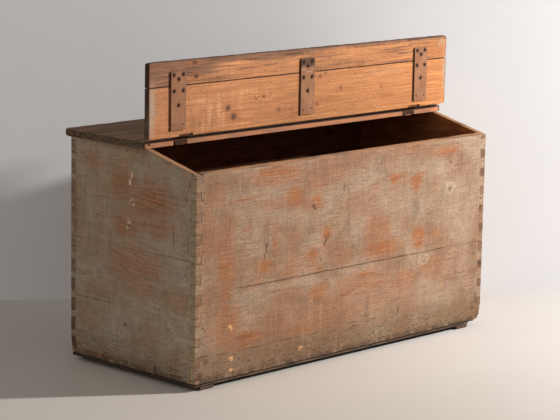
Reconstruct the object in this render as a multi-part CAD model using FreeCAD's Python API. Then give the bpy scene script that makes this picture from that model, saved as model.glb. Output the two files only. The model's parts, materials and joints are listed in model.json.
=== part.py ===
import FreeCAD, Part
import math
import os

# Pine trunk: dovetailed case, fixed rear top board, and a lid hinged to that board's front edge.
# Millimetres, +X to the right, +Y to the rear, +Z up.
# The origin is on the floor under the middle of the whole piece. The lid stands open.

# Case
case_length = 1200.0
case_depth = 507.0
front_height = 568.0             # front wall at its outer face
rear_height = 616.0              # back wall, and the ends under the top board
wall_thickness = 19.0            # front and back walls
end_thickness = 19.0
front_joint_height = 243.0       # joint between the two front boards
front_joint_gap = 1.2            # that joint has shrunk open
end_lower_joint_height = 169.0
end_upper_joint_height = 335.0
back_lower_joint_height = 196.0
back_upper_joint_height = 420.0
tight_joint_gap = 0.2            # between boards whose joint is still closed

# Through dovetails at the four corners
front_tail_count = 10
back_tail_count = 11
dovetail_pin_width = 18.5        # at the pin's outer face
dovetail_flank_run = 7.0         # flanks slope one in seven
dovetail_clearance = 0.1

# Bottom and runners
bottom_thickness = 10.0
bottom_inset = 4.0               # the bottom stands back from the case all round
runner_height = 11.0
runner_width = 48.0
left_runner_offset = 28.0        # case end to the runner's outer side
right_runner_offset = 55.0
runner_front_setback = 5.0
runner_rear_setback = 20.0
runner_chamfer = 3.0

# Fixed top board
top_board_depth = 335.0
top_board_thickness = 20.0
top_board_end_overhang = 12.0
top_board_rear_overhang = 25.0
top_board_corner_radius = 25.0
top_board_edge_chamfer = 3.0

# Lid
lid_thickness = 18.0
lid_front_overhang = 11.0        # past the front wall, along the slope
lid_end_overhang = 11.0
lid_front_board_width = 68.0
lid_joint_gap = 1.6
lid_corner_radius = 7.0
lid_seat_gap = 0.3               # closed lid to the edges that it lies on

# Lid battens
batten_width = 57.0
batten_thickness = 5.0
batten_rear_setback = 24.0       # hinge axis to the batten's rear end
batten_wall_clearance = 3.5      # closed batten to the front wall's inner face
batten_corner_radius = 4.0
left_batten_offset = 93.0        # case end to the batten's centre line
middle_batten_offset = -3.0      # from the middle of the case
right_batten_offset = 111.0

# Butt hinges
left_hinge_offset = 126.0        # case end to the hinge's middle
right_hinge_offset = 132.0
hinge_length = 51.0
hinge_gap = 1.6                  # closed lid's rear edge to the top board's front face
hinge_axis_rise = 1.2            # above the top board
leaf_thickness = 2.2
leaf_edge_margin = 0.7           # leaf's long edge to the edge of the wood
leaf_pocket_clearance = 0.3
knuckle_count = 3
knuckle_radius = 3.5
knuckle_side_gap = 0.3
knuckle_relief = 0.4             # wood cut back around the knuckles
hinge_pin_radius = 1.6
hinge_pin_stand_out = 0.6        # past each end of the knuckles
pin_running_clearance = 0.06     # in the lid leaf's knuckles
pin_held_clearance = 0.02        # in the fixed leaf's knuckles
lid_notch_height = 7.0           # wood chopped out of the lid's edge over each hinge
lid_notch_depth = 9.0

# Hinge screws
screw_count = 3
screw_spacing = 16.5
screw_radius = 1.6
screw_head_radius = 3.3
screw_tip_radius = 0.8
screw_length = 14.0
screw_side_count = 8             # screws are drawn with flat sides

# Nails: square tapered shanks
nail_shank = 3.4
nail_tip = 1.2
rose_head_width = 10.0
rose_head_crown = 4.0
rose_head_height = 2.6
batten_nail_length = 20.0
small_head_width = 4.5
small_head_height = 0.8
flat_head_width = 7.0
flat_head_thickness = 1.6
top_nail_length = 48.0
bottom_nail_length = 36.0
runner_nail_length = 18.0
top_end_nail_count = 4
top_back_nail_count = 6
bottom_wall_nail_count = 8
bottom_end_nail_count = 2        # in each bottom board, at each end
runner_nail_count = 2            # in each bottom board
nail_edge_distance = 30.0
batten_tip_pair_inset = 9.0      # rows of nails, from the batten's tip, the lid joint or the rear end
batten_tip_single_inset = 21.0
batten_joint_pair_inset = 13.0
batten_middle_inset = 52.0
batten_rear_pair_inset = 16.0
batten_pair_spacing = 34.0

V = FreeCAD.Vector
cut_margin = 2.0                 # how far a cutting shape runs past the face it cuts
same_place = 0.01                # points as near as this count as one
board_levels = ("lower", "middle", "upper")
bottom_names = ("front", "middle", "rear")

# Places worked out from the sizes
base_z = runner_height + bottom_thickness
half_length = case_length / 2
front_y = -(case_depth + top_board_rear_overhang) / 2
back_y = front_y + case_depth
rear_edge_y = back_y + top_board_rear_overhang
top_front_y = rear_edge_y - top_board_depth
rear_top_z = base_z + rear_height
board_top_z = rear_top_z + top_board_thickness
slope = math.atan2(rear_height - front_height, top_front_y - front_y)
hinge_y = top_front_y - hinge_gap / 2
hinge_z = board_top_z + hinge_axis_rise
closing_angle = 90 + math.degrees(slope)

# Lid in the open pose, measured from the hinge axis
slope_drop = (hinge_z - rear_top_z) * math.cos(slope) + hinge_gap / 2 * math.sin(slope)
lid_inner = slope_drop - lid_seat_gap
lid_outer = lid_inner - lid_thickness
lid_reach = (hinge_y - front_y) / math.cos(slope) + lid_front_overhang
lid_joint = lid_reach - lid_front_board_width
batten_face = lid_inner + batten_thickness
wall_room = hinge_y - front_y - wall_thickness - batten_wall_clearance
batten_reach = (wall_room + batten_face * math.sin(slope)) / math.cos(slope)

hinge_middles = {
    "left": left_hinge_offset - half_length,
    "right": half_length - right_hinge_offset,
}
batten_middles = {
    "left": left_batten_offset - half_length,
    "middle": middle_batten_offset,
    "right": half_length - right_batten_offset,
}


def box(x0, x1, y0, y1, z0, z1):
    return Part.makeBox(x1 - x0, y1 - y0, z1 - z0, V(x0, y0, z0))


def prism_along_x(outline, x0, x1):
    corners = [V(x0, y, z) for y, z in outline]
    return Part.Face(closed_polygon(corners)).extrude(V(x1 - x0, 0, 0))


def prism_along_y(outline, y0, y1):
    corners = [V(x, y0, z) for x, z in outline]
    return Part.Face(closed_polygon(corners)).extrude(V(0, y1 - y0, 0))


def rod(x0, x1, y, z, radius):
    return Part.makeCylinder(radius, x1 - x0, V(x0, y, z), V(1, 0, 0))


def evenly(first, last, count):
    return [first + (last - first) * i / (count - 1) for i in range(count)]


def edges_along(shape, direction):
    found = []
    for edge in shape.Edges:
        run = edge.Vertexes[-1].Point - edge.Vertexes[0].Point
        if abs(run.dot(direction)) > run.cross(direction).Length:
            found.append(edge)
    return found


def closed_polygon(corners):
    return Part.makePolygon(corners + corners[:1])


def flat_sided_solid(rings):
    faces = [Part.Face(closed_polygon(rings[0])), Part.Face(closed_polygon(rings[-1]))]
    for low, high in zip(rings, rings[1:]):
        for i in range(len(low)):
            faces.append(Part.Face(closed_polygon([low[i - 1], low[i], high[i], high[i - 1]])))
    return Part.makeSolid(Part.makeShell(faces))


def save(node, shape):
    shape.exportStep(os.path.join("parts", node + ".step"))


# Corner joints: the walls carry the tails, the ends carry the pins

def pin_shape(side, low_z, high_z, y0, y1, clearance):
    root = end_thickness + clearance
    half_tip = dovetail_pin_width / 2 + clearance - cut_margin / dovetail_flank_run
    half_root = half_tip + (root + cut_margin) / dovetail_flank_run
    x_tip = side * (half_length + cut_margin)
    x_root = side * (half_length - root)
    outline = [
        (x_tip, low_z - half_tip),
        (x_root, low_z - half_root),
        (x_root, high_z + half_root),
        (x_tip, high_z + half_tip),
    ]
    return prism_along_y(outline, y0 - cut_margin, y1 + cut_margin)


def tailed_wall(outline, height, tail_count, clearance):
    y0 = outline[0][0]
    y1 = outline[1][0]
    wall = prism_along_x(outline, -half_length, half_length)
    levels = [(z, z) for z in evenly(base_z, base_z + height, tail_count + 1)]
    levels[-1] = (base_z + height, wall.BoundBox.ZMax)
    sockets = []
    for low_z, high_z in levels:
        for side in (-1, 1):
            sockets.append(pin_shape(side, low_z, high_z, y0, y1, clearance))
    return wall.cut(sockets)


def front_wall(clearance):
    inner_y = front_y + wall_thickness
    inner_top = base_z + front_height + wall_thickness * math.tan(slope)
    outline = [(front_y, base_z), (inner_y, base_z), (inner_y, inner_top), (front_y, base_z + front_height)]
    return tailed_wall(outline, front_height, front_tail_count, clearance)


def back_wall(clearance):
    inner_y = back_y - wall_thickness
    outline = [(inner_y, base_z), (back_y, base_z), (back_y, rear_top_z), (inner_y, rear_top_z)]
    return tailed_wall(outline, rear_height, back_tail_count, clearance)


def end_panel(side):
    outline = [
        (front_y, base_z),
        (back_y, base_z),
        (back_y, rear_top_z),
        (top_front_y, rear_top_z),
        (front_y, base_z + front_height),
    ]
    x0, x1 = sorted((side * half_length, side * (half_length - end_thickness)))
    slab = prism_along_x(outline, x0, x1)
    return slab.cut([front_wall(0), back_wall(0)])


def split_into_boards(panel, joint_heights, gap):
    reach = case_length
    levels = [-cut_margin] + list(joint_heights) + [rear_height + reach]
    boards = []
    for low, high in zip(levels, levels[1:]):
        slab = box(-reach, reach, -reach, reach, base_z + low + gap / 2, base_z + high - gap / 2)
        boards.append(panel.common(slab))
    return boards


def case_boards():
    boards = {}
    front = split_into_boards(front_wall(dovetail_clearance), [front_joint_height], front_joint_gap)
    boards["front_lower_board"], boards["front_upper_board"] = front
    back_joints = [back_lower_joint_height, back_upper_joint_height]
    back = split_into_boards(back_wall(dovetail_clearance), back_joints, tight_joint_gap)
    for level, board in zip(board_levels, back):
        boards["back_%s_board" % level] = board
    end_joints = [end_lower_joint_height, end_upper_joint_height]
    for name, side in (("left", -1), ("right", 1)):
        end = split_into_boards(end_panel(side), end_joints, tight_joint_gap)
        for level, board in zip(board_levels, end):
            boards["%s_end_%s_board" % (name, level)] = board
    return boards


# Bottom boards run along the trunk, and the runners cross under them

bottom_levels = evenly(front_y + bottom_inset, back_y - bottom_inset, len(bottom_names) + 1)


def bottom_boards():
    boards = {}
    reach = half_length - bottom_inset
    for name, y0, y1 in zip(bottom_names, bottom_levels, bottom_levels[1:]):
        if name != bottom_names[0]:
            y0 += tight_joint_gap / 2
        if name != bottom_names[-1]:
            y1 -= tight_joint_gap / 2
        boards["bottom_%s_board" % name] = box(-reach, reach, y0, y1, runner_height, base_z)
    return boards


def runner_sides():
    left = left_runner_offset - half_length
    right = half_length - right_runner_offset - runner_width
    return {"left_runner": left, "right_runner": right}


def runners():
    y0 = front_y + runner_front_setback
    y1 = back_y - runner_rear_setback
    c = runner_chamfer
    outline = [(y0, c), (y0 + c, 0), (y1 - c, 0), (y1, c), (y1, runner_height), (y0, runner_height)]
    shapes = {}
    for name, x in runner_sides().items():
        shapes[name] = prism_along_x(outline, x, x + runner_width)
    return shapes


# Fixed top board

def top_board():
    reach = half_length + top_board_end_overhang
    board = box(-reach, reach, top_front_y, rear_edge_y, rear_top_z, board_top_z)
    upright = edges_along(board, V(0, 0, 1))
    rear_corners = [edge for edge in upright if edge.Vertexes[0].Y > top_front_y + same_place]
    board = board.makeFillet(top_board_corner_radius, rear_corners)
    rim = []
    for edge in board.Edges:
        level = abs(edge.Vertexes[0].Z - edge.Vertexes[-1].Z) < same_place
        on_front = max(v.Y for v in edge.Vertexes) < top_front_y + same_place
        if level and not on_front:
            rim.append(edge)
    board = board.makeChamfer(top_board_edge_chamfer, rim)
    for middle in hinge_middles.values():
        board = board.cut([fixed_leaf_pocket(middle), knuckle_space(middle)])
    return board


# Hinges are drawn closed, with both leaves hanging from the axis, and the lid's leaf is then swung open

def swing_open(shape):
    opened = shape.copy()
    opened.rotate(V(0, hinge_y, hinge_z), V(1, 0, 0), -closing_angle)
    return opened


def mirrored_to_lid(shape):
    return shape.mirror(V(0, hinge_y, hinge_z), V(0, 1, 0))


fixed_leaf_width = hinge_z - rear_top_z - leaf_edge_margin
lid_leaf_width = (lid_inner - leaf_edge_margin) / math.cos(slope)


def knuckle_space(middle):
    half = hinge_length / 2 + hinge_pin_stand_out + leaf_pocket_clearance
    return rod(middle - half, middle + half, hinge_y, hinge_z, knuckle_radius + knuckle_relief)


def leaf_pocket(middle, low_z):
    half = hinge_length / 2 + leaf_pocket_clearance
    y1 = top_front_y + leaf_thickness
    return box(middle - half, middle + half, top_front_y - cut_margin, y1, low_z, hinge_z + knuckle_radius)


def fixed_leaf_pocket(middle):
    return leaf_pocket(middle, hinge_z - fixed_leaf_width - leaf_pocket_clearance)


def lid_leaf_pocket(middle):
    low_z = hinge_z - lid_inner / math.cos(slope) - lid_thickness
    return swing_open(mirrored_to_lid(leaf_pocket(middle, low_z)))


def knuckle_spans(middle):
    step = (hinge_length + knuckle_side_gap) / knuckle_count
    starts = [middle - hinge_length / 2 + step * i for i in range(knuckle_count)]
    return [(x, x + step - knuckle_side_gap) for x in starts]


def screw_places(middle, width):
    half = (screw_count - 1) * screw_spacing / 2
    clear_width = width - knuckle_radius - knuckle_relief
    z = hinge_z - width + clear_width / 2
    return [(x, z) for x in evenly(middle - half, middle + half, screw_count)]


def screw(x, z):
    neck = screw_head_radius - screw_radius
    sections = [
        (0, screw_head_radius),
        (neck, screw_radius),
        (screw_length - screw_radius, screw_radius),
        (screw_length, screw_tip_radius),
    ]
    turns = evenly(0, 2 * math.pi, screw_side_count + 1)[:-1]
    rings = []
    for depth, radius in sections:
        y = top_front_y + depth
        rings.append([V(x + radius * math.cos(t), y, z + radius * math.sin(t)) for t in turns])
    return flat_sided_solid(rings)


def leaf(middle, width, own_knuckles, bore_radius):
    half = hinge_length / 2
    shoulder = hinge_z - knuckle_radius - knuckle_relief
    y1 = top_front_y + leaf_thickness
    shape = box(middle - half, middle + half, top_front_y, y1, hinge_z - width, shoulder)
    for x0, x1 in own_knuckles:
        web = box(x0, x1, top_front_y, y1, shoulder, hinge_z)
        shape = shape.fuse([web, rod(x0, x1, hinge_y, hinge_z, knuckle_radius)])
    bore = rod(middle - hinge_length, middle + hinge_length, hinge_y, hinge_z, bore_radius)
    holes = [screw(x, z) for x, z in screw_places(middle, width)]
    return shape.cut([bore] + holes).removeSplitter()


def fixed_leaf(middle):
    bore_radius = hinge_pin_radius + pin_held_clearance
    return leaf(middle, fixed_leaf_width, knuckle_spans(middle)[0::2], bore_radius)


def lid_leaf(middle):
    bore_radius = hinge_pin_radius + pin_running_clearance
    shape = leaf(middle, lid_leaf_width, knuckle_spans(middle)[1::2], bore_radius)
    return swing_open(mirrored_to_lid(shape))


def hinge_pin(middle):
    half = hinge_length / 2 + hinge_pin_stand_out
    return rod(middle - half, middle + half, hinge_y, hinge_z, hinge_pin_radius)


def fixed_screws(middle):
    return [screw(x, z) for x, z in screw_places(middle, fixed_leaf_width)]


def lid_screws(middle):
    places = screw_places(middle, lid_leaf_width)
    return [swing_open(mirrored_to_lid(screw(x, z))) for x, z in places]


# Lid, standing open on its bevelled rear edge

def rear_edge_z(depth):
    return hinge_z + hinge_gap / 2 / math.cos(slope) + depth * math.tan(slope)


def lid_panel():
    y_inner = hinge_y - lid_inner
    y_outer = hinge_y - lid_outer
    outline = [
        (y_outer, rear_edge_z(lid_outer)),
        (y_inner, rear_edge_z(lid_inner)),
        (y_inner, hinge_z + lid_reach),
        (y_outer, hinge_z + lid_reach),
    ]
    reach = half_length + lid_end_overhang
    panel = prism_along_x(outline, -reach, reach)
    return panel.makeFillet(lid_corner_radius, edges_along(panel, V(0, 1, 0)))


def lid_notch(middle):
    half = hinge_length / 2 + leaf_pocket_clearance
    y_inner = hinge_y - lid_inner
    z = rear_edge_z(lid_inner)
    outline = [
        (y_inner - cut_margin, z - cut_margin),
        (y_inner - cut_margin, z + lid_notch_height),
        (y_inner, z + lid_notch_height),
        (y_inner + lid_notch_depth, rear_edge_z(lid_inner - lid_notch_depth)),
        (y_inner + lid_notch_depth, z - lid_notch_height),
    ]
    return prism_along_x(outline, middle - half, middle + half)


def lid_boards():
    panel = lid_panel()
    joint_z = hinge_z + lid_joint
    reach = case_length
    rear = panel.common(box(-reach, reach, -reach, reach, joint_z - reach, joint_z - lid_joint_gap / 2))
    front = panel.common(box(-reach, reach, -reach, reach, joint_z + lid_joint_gap / 2, joint_z + reach))
    for middle in hinge_middles.values():
        rear = rear.cut([lid_leaf_pocket(middle), knuckle_space(middle), lid_notch(middle)])
    return {"lid_rear_board": rear, "lid_front_board": front}


def batten(middle):
    half = batten_width / 2
    y = hinge_y - lid_inner
    z0 = hinge_z + batten_rear_setback
    z1 = hinge_z + batten_reach
    shape = box(middle - half, middle + half, y - batten_thickness, y, z0, z1)
    return shape.makeFillet(batten_corner_radius, edges_along(shape, V(0, 1, 0)))


# Nails point along +Y as drawn here, with the underside of the head at y = 0

def shank(length):
    a = nail_shank / 2
    b = nail_tip / 2
    return Part.makeWedge(-a, 0, -a, -b, -b, a, length, a, b, b)


def headed_nail(length, width, crown, height):
    a = width / 2
    b = crown / 2
    head = Part.makeWedge(-b, -height, -b, -a, -a, b, 0, b, a, a)
    return shank(length).fuse(head).removeSplitter()


def flat_nail(length):
    half = flat_head_width / 2
    head = box(-half, half, 0, flat_head_thickness, -half, half)
    return shank(length).fuse(head).removeSplitter()


def placed(nail, x, y, z, turn):
    copy = nail.copy()
    copy.rotate(V(0, 0, 0), V(1, 0, 0), turn)
    copy.translate(V(x, y, z))
    return copy


def batten_nails(middle):
    rose = headed_nail(batten_nail_length, rose_head_width, rose_head_crown, rose_head_height)
    small = headed_nail(batten_nail_length, small_head_width, small_head_width, small_head_height)
    side = batten_pair_spacing / 2
    rows = [
        (rose, batten_reach - batten_tip_pair_inset, (-side, side)),
        (rose, batten_reach - batten_tip_single_inset, (0,)),
        (rose, lid_joint - batten_joint_pair_inset, (-side, side)),
        (rose, lid_joint - batten_middle_inset, (0,)),
        (small, batten_rear_setback + batten_rear_pair_inset, (-side, side)),
    ]
    nails = []
    for nail, along, places in rows:
        for across in places:
            nails.append(placed(nail, middle + across, hinge_y - batten_face, hinge_z + along, 0))
    return nails


def top_nails():
    nail = flat_nail(top_nail_length)
    down = -90
    end_x = half_length - end_thickness / 2
    wall_y = back_y - wall_thickness / 2
    nails = []
    for y in evenly(top_front_y + nail_edge_distance, wall_y - nail_edge_distance, top_end_nail_count):
        for side in (-1, 1):
            nails.append(placed(nail, side * end_x, y, board_top_z, down))
    reach = half_length - end_thickness - nail_edge_distance
    for x in evenly(-reach, reach, top_back_nail_count):
        nails.append(placed(nail, x, wall_y, board_top_z, down))
    return nails


def bottom_nails():
    nail = flat_nail(bottom_nail_length)
    up = 90
    nails = []
    reach = half_length - end_thickness - runner_width - max(left_runner_offset, right_runner_offset)
    for x in evenly(-reach, reach, bottom_wall_nail_count):
        for y in (front_y + wall_thickness / 2, back_y - wall_thickness / 2):
            nails.append(placed(nail, x, y, runner_height, up))
    for y0, y1 in zip(bottom_levels, bottom_levels[1:]):
        first = y0 + wall_thickness + nail_edge_distance
        last = y1 - wall_thickness - nail_edge_distance
        for y in evenly(first, last, bottom_end_nail_count):
            for side in (-1, 1):
                nails.append(placed(nail, side * (half_length - end_thickness / 2), y, runner_height, up))
    return nails


def runner_nails():
    nail = flat_nail(runner_nail_length)
    up = 90
    nails = []
    for y0, y1 in zip(bottom_levels, bottom_levels[1:]):
        first = y0 + runner_rear_setback + nail_edge_distance
        last = y1 - runner_rear_setback - nail_edge_distance
        for y in evenly(first, last, runner_nail_count):
            for x in runner_sides().values():
                nails.append(placed(nail, x + runner_width / 2, y, 0, up))
    return nails


def cut_boards(boards, wanted, cutters):
    for name in boards:
        if name.startswith(wanted):
            boards[name] = boards[name].cut(cutters)


def woodwork():
    boards = {}
    boards.update(case_boards())
    boards.update(bottom_boards())
    boards.update(runners())
    boards["top_board"] = top_board()
    boards.update(lid_boards())
    for name, middle in batten_middles.items():
        boards[name + "_batten"] = batten(middle)
    return boards


def hinge_iron():
    iron = {}
    for name, middle in hinge_middles.items():
        iron[name + "_hinge_fixed_leaf"] = fixed_leaf(middle)
        iron[name + "_hinge_lid_leaf"] = lid_leaf(middle)
        iron[name + "_hinge_pin"] = hinge_pin(middle)
    return iron


def fasteners():
    groups = {
        "fixed_leaf_screws": [],
        "lid_leaf_screws": [],
        "top_board_nails": top_nails(),
        "bottom_nails": bottom_nails(),
        "runner_nails": runner_nails(),
    }
    for middle in hinge_middles.values():
        groups["fixed_leaf_screws"] += fixed_screws(middle)
        groups["lid_leaf_screws"] += lid_screws(middle)
    for name, middle in batten_middles.items():
        groups[name + "_batten_nails"] = batten_nails(middle)
    return groups


def build():
    nodes = woodwork()
    groups = fasteners()
    cut_boards(nodes, ("top_board",), groups["fixed_leaf_screws"])
    cut_boards(nodes, ("lid_rear_board",), groups["lid_leaf_screws"])
    cut_boards(nodes, ("top_board", "left_end", "right_end", "back"), groups["top_board_nails"])
    cut_boards(nodes, ("bottom", "left_end", "right_end", "front", "back"), groups["bottom_nails"])
    cut_boards(nodes, ("bottom", "left_runner", "right_runner"), groups["runner_nails"])
    for name in batten_middles:
        held = (name + "_batten", "lid_rear_board", "lid_front_board")
        cut_boards(nodes, held, groups[name + "_batten_nails"])
    nodes.update(hinge_iron())
    for name, solids in groups.items():
        nodes[name] = Part.makeCompound(solids)
    return nodes


os.makedirs("parts", exist_ok=True)
for node, shape in build().items():
    save(node, shape)
    print(node, len(shape.Solids), "solid(s),", round(shape.Volume / 1000, 1), "cm3")
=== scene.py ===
import bmesh
import bpy
import json
import math
from mathutils import Matrix, Vector, noise

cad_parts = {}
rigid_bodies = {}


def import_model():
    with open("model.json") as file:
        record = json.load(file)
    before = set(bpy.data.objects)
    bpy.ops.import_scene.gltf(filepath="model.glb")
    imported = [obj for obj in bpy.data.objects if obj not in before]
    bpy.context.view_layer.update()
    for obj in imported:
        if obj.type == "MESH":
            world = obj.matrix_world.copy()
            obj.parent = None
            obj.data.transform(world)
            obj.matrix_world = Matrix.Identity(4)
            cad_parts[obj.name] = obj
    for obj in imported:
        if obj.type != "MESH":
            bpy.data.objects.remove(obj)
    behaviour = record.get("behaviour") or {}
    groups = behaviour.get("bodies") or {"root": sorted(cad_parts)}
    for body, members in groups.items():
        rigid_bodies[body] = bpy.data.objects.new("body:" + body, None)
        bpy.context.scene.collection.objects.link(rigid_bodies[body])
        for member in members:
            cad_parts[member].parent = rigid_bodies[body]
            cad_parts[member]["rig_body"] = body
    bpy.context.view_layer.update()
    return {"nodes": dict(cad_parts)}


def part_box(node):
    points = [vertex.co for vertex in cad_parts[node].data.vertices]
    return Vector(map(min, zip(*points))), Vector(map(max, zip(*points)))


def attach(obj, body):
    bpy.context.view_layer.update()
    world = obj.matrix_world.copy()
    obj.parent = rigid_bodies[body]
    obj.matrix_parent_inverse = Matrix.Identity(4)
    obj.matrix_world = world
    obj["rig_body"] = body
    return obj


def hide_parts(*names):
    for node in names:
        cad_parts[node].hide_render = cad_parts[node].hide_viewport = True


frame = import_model()
print("frame loaded:", len(frame["nodes"]), "nodes")

mm = 0.001
touch = 0.1 * mm  # nearer than this counts as on a face
weld = 0.01 * mm  # points nearer than this are one
onCut = 0.001 * mm  # points nearer than this to a cut lie on it

# where the trunk's main faces lie, read from the frame
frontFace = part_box("front_upper_board")[0].y
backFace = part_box("back_upper_board")[1].y
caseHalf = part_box("front_upper_board")[1].x
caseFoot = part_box("front_lower_board")[0].z
frontMesh = frame["nodes"]["front_upper_board"].data
frontTop = max(vert.co.z for vert in frontMesh.vertices if vert.co.y < frontFace + touch)
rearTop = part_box("back_upper_board")[1].z
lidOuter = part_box("lid_front_board")[1].y
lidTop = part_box("lid_front_board")[1].z
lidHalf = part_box("lid_front_board")[1].x
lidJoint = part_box("lid_rear_board")[1].z
wallJoints = [
    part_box(board + "_board")[1].z
    for board in ("front_lower", "back_lower", "back_middle", "left_end_lower", "left_end_middle")
]
frontJoint, backLowJoint, backHighJoint, endLowJoint, endHighJoint = wallJoints


class Wire:
    # one socket in a node tree: sums and products of wires add Math nodes
    def __init__(self, tree, socket=None):
        self.tree = tree
        self.socket = socket

    def add(self, kind, settings, inputs, output=0):
        node = self.tree.nodes.new(kind)
        for name, value in settings.items():
            setattr(node, name, value)
        for key, value in inputs.items():
            if isinstance(value, Wire):
                self.tree.links.new(value.socket, node.inputs[key])
            else:
                node.inputs[key].default_value = value
        return Wire(self.tree, node.outputs[output]) if node.outputs else None

    def math(self, operation, first, second=0.0):
        return self.add("ShaderNodeMath", {"operation": operation}, {0: first, 1: second})

    def __add__(self, other):
        return self.math("ADD", self, other)

    def __radd__(self, other):
        return self.math("ADD", other, self)

    def __sub__(self, other):
        return self.math("SUBTRACT", self, other)

    def __rsub__(self, other):
        return self.math("SUBTRACT", other, self)

    def __mul__(self, other):
        return self.math("MULTIPLY", self, other)

    def __rmul__(self, other):
        return self.math("MULTIPLY", other, self)

    def __truediv__(self, other):
        return self.math("DIVIDE", self, other)

    def __rtruediv__(self, other):
        return self.math("DIVIDE", other, self)

    def __abs__(self):
        return self.math("ABSOLUTE", self)

    def __neg__(self):
        return self.math("MULTIPLY", self, -1.0)


# shading helpers

def axesOf(vector):
    first = vector.add("ShaderNodeSeparateXYZ", {}, {0: vector})
    return [Wire(first.tree, socket) for socket in first.socket.node.outputs]


def startMaterial(name):
    material = bpy.data.materials.new(name)
    material.use_nodes = True
    material.node_tree.nodes.clear()
    root = Wire(material.node_tree)
    place = root.add("ShaderNodeTexCoord", {}, {}, "Object")
    facing = root.add("ShaderNodeTexCoord", {}, {}, "Normal")
    return material, root, place, axesOf(place), axesOf(facing)


def ramp(value, low, high):  # 0 at low, 1 at high, smooth between
    return value.add("ShaderNodeMapRange", {"interpolation_type": "SMOOTHSTEP"}, {0: value, 1: low, 2: high})


def larger(first, second):
    return first.math("MAXIMUM", first, second)


def clamped(value):
    return value.math("MINIMUM", value.math("MAXIMUM", value, 0.0), 1.0)


def colourOf(value):
    return value if isinstance(value, Wire) else (*value, 1.0)


def blend(factor, first, second):
    inputs = {0: factor, 6: colourOf(first), 7: colourOf(second)}
    return factor.add("ShaderNodeMix", {"data_type": "RGBA"}, inputs, 2)


def shaded(colour, strength):  # a colour made lighter or darker
    return colour.add("ShaderNodeVectorMath", {"operation": "SCALE"}, {0: colour, 3: strength})


def spread(vector, scale, shift):  # scales a vector, then shifts it
    inputs = {0: vector, 1: scale, 2: shift}
    return vector.add("ShaderNodeVectorMath", {"operation": "MULTIPLY_ADD"}, inputs)


def noiseOf(place, size, detail=3.0, shift=0.0):  # size is that of the features, in metres
    vector = spread(place, tuple(1 / length for length in size), (shift, shift * 0.7, shift * 1.3))
    inputs = {"Vector": vector, "Scale": 1.0, "Detail": detail, "Roughness": 0.62}
    return place.add("ShaderNodeTexNoise", {}, inputs)


def roughened(place, size, amount):  # pushes places about, so that marks get ragged outlines
    vector = place.add("ShaderNodeVectorMath", {"operation": "SCALE"}, {0: place, 3: 1 / size})
    cloud = place.add("ShaderNodeTexNoise", {}, {"Vector": vector, "Scale": 1.0, "Detail": 4.0}, 1)
    centred = place.add("ShaderNodeVectorMath", {"operation": "SUBTRACT"}, {0: cloud, 1: (0.5, 0.5, 0.5)})
    return spread(centred, (amount, amount, amount), place)


def markMask(place, marks, plane, core=0.45, hollow=False):
    # marks: across, up, half width and half height in mm, then strength
    total = None
    for across, up, halfWidth, halfHeight, strength in marks:
        wide, high = 1 / (halfWidth * mm), 1 / (halfHeight * mm)
        toWidth, toHeight = -across / halfWidth, -up / halfHeight
        flat = plane == "y"
        scale = (wide, 0.0, high) if flat else (0.0, wide, high)
        shift = (toWidth, 0.0, toHeight) if flat else (0.0, toWidth, toHeight)
        local = spread(place, scale, shift)
        distance = place.add("ShaderNodeVectorMath", {"operation": "LENGTH"}, {0: local}, "Value")
        mark = (ramp(abs(distance - 0.75), 0.25, 0.08) if hollow else ramp(distance, 1.0, core)) * strength
        total = mark if total is None else larger(total, mark)
    return total


def finishMaterial(root, colour, roughness, height, bump, gloss=0.25):
    relief = root.add("ShaderNodeBump", {}, {"Strength": bump, "Distance": 1 * mm, "Height": height})
    inputs = {"Base Color": colour, "Roughness": roughness, "Normal": relief, "Specular IOR Level": gloss}
    shader = root.add("ShaderNodeBsdfPrincipled", {}, inputs)
    root.add("ShaderNodeOutputMaterial", {}, {"Surface": shader})


# pine: fibres and growth rings along the board

pine = {
    "fibreLength": 0.17,
    "fibreWidth": 0.0032,
    "ringWidth": 0.013,
    "ringWander": 2.6,
    "wanderLength": 0.55,
    "wanderWidth": 0.075,
}


def alongGrain(grain, length, width):
    return tuple(length if axis == grain else width for axis in "xyz")


def pineGrain(place, across, grain, shift):
    fibres = noiseOf(place, alongGrain(grain, pine["fibreLength"], pine["fibreWidth"]), 4.0, shift)
    wander = noiseOf(place, alongGrain(grain, pine["wanderLength"], pine["wanderWidth"]), 1.5, shift + 5)
    turn = (across / pine["ringWidth"] + wander * pine["ringWander"] * 4) * (2 * math.pi)
    rings = turn.math("SINE", turn) * 0.5 + 0.5
    return fibres, rings


# dovetail joints: the dirt lines round the pins on the walls, and round the tails on the ends

joint = {
    "frontTails": 10,
    "backTails": 11,
    "pinHalf": 0.00925,
    "flankRun": 7.0,
    "depth": 0.019,
    "lineWidth": 0.0023,
    "lineCore": 0.0004,
}

boardSeam = {"wobble": 0.004, "halfWidth": 0.0028, "core": 0.0006, "fade": 25}  # the dirt between two boards


def nearestPin(z, height, tails):
    pitch = height / tails
    turns = (z - caseFoot) / pitch + 0.5
    return abs(turns.math("FRACT", turns) - 0.5) * pitch


def jointLines(z, inFromCorner, height, tails, flared):
    toPin = nearestPin(z, height, tails)
    flare = inFromCorner / joint["flankRun"] if flared else inFromCorner * 0
    half = flare + joint["pinHalf"]
    inside = ramp(inFromCorner, joint["depth"] + 0.001, joint["depth"])
    flank = ramp(abs(toPin - half), joint["lineWidth"], joint["lineCore"]) * inside
    onPin = ramp(half - toPin, -0.0005, 0.0005)
    rootSide = onPin if flared else 1 - onPin
    root = ramp(abs(inFromCorner - joint["depth"]), joint["lineWidth"], joint["lineCore"]) * rootSide
    return larger(flank, root)


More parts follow.
